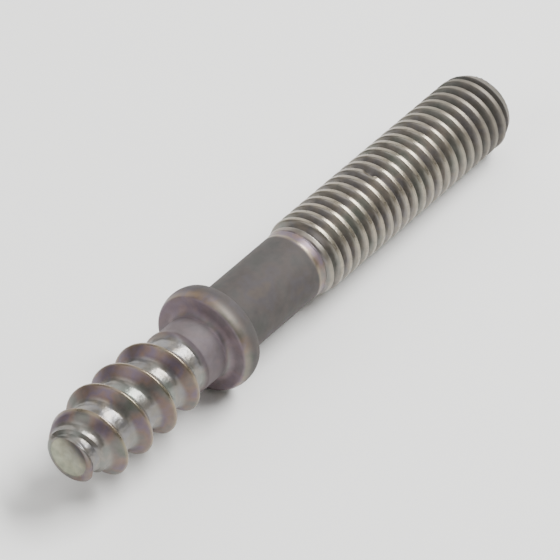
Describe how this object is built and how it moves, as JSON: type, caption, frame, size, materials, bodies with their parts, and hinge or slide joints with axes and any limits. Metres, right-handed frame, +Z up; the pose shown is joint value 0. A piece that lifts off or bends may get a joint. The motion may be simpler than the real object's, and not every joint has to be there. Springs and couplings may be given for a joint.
{
  "type": "collar screw",
  "caption": "One-piece steel screw with a coarse wood thread, a round stop collar, a plain shank and a fine machine thread on the far side.",
  "frame": {"origin": "on the floor under the middle of the screw's length, as it lies at rest", "axes": "+X along the screw from the wood thread towards the machine thread, +Z up"},
  "size_m": [0.0489, 0.0078, 0.0079],
  "materials": {
    "zinc_plated_steel": "satin"
  },
  "bodies": {
    "root": {"collar_screw": "zinc_plated_steel"}
  },
  "joints": []
}
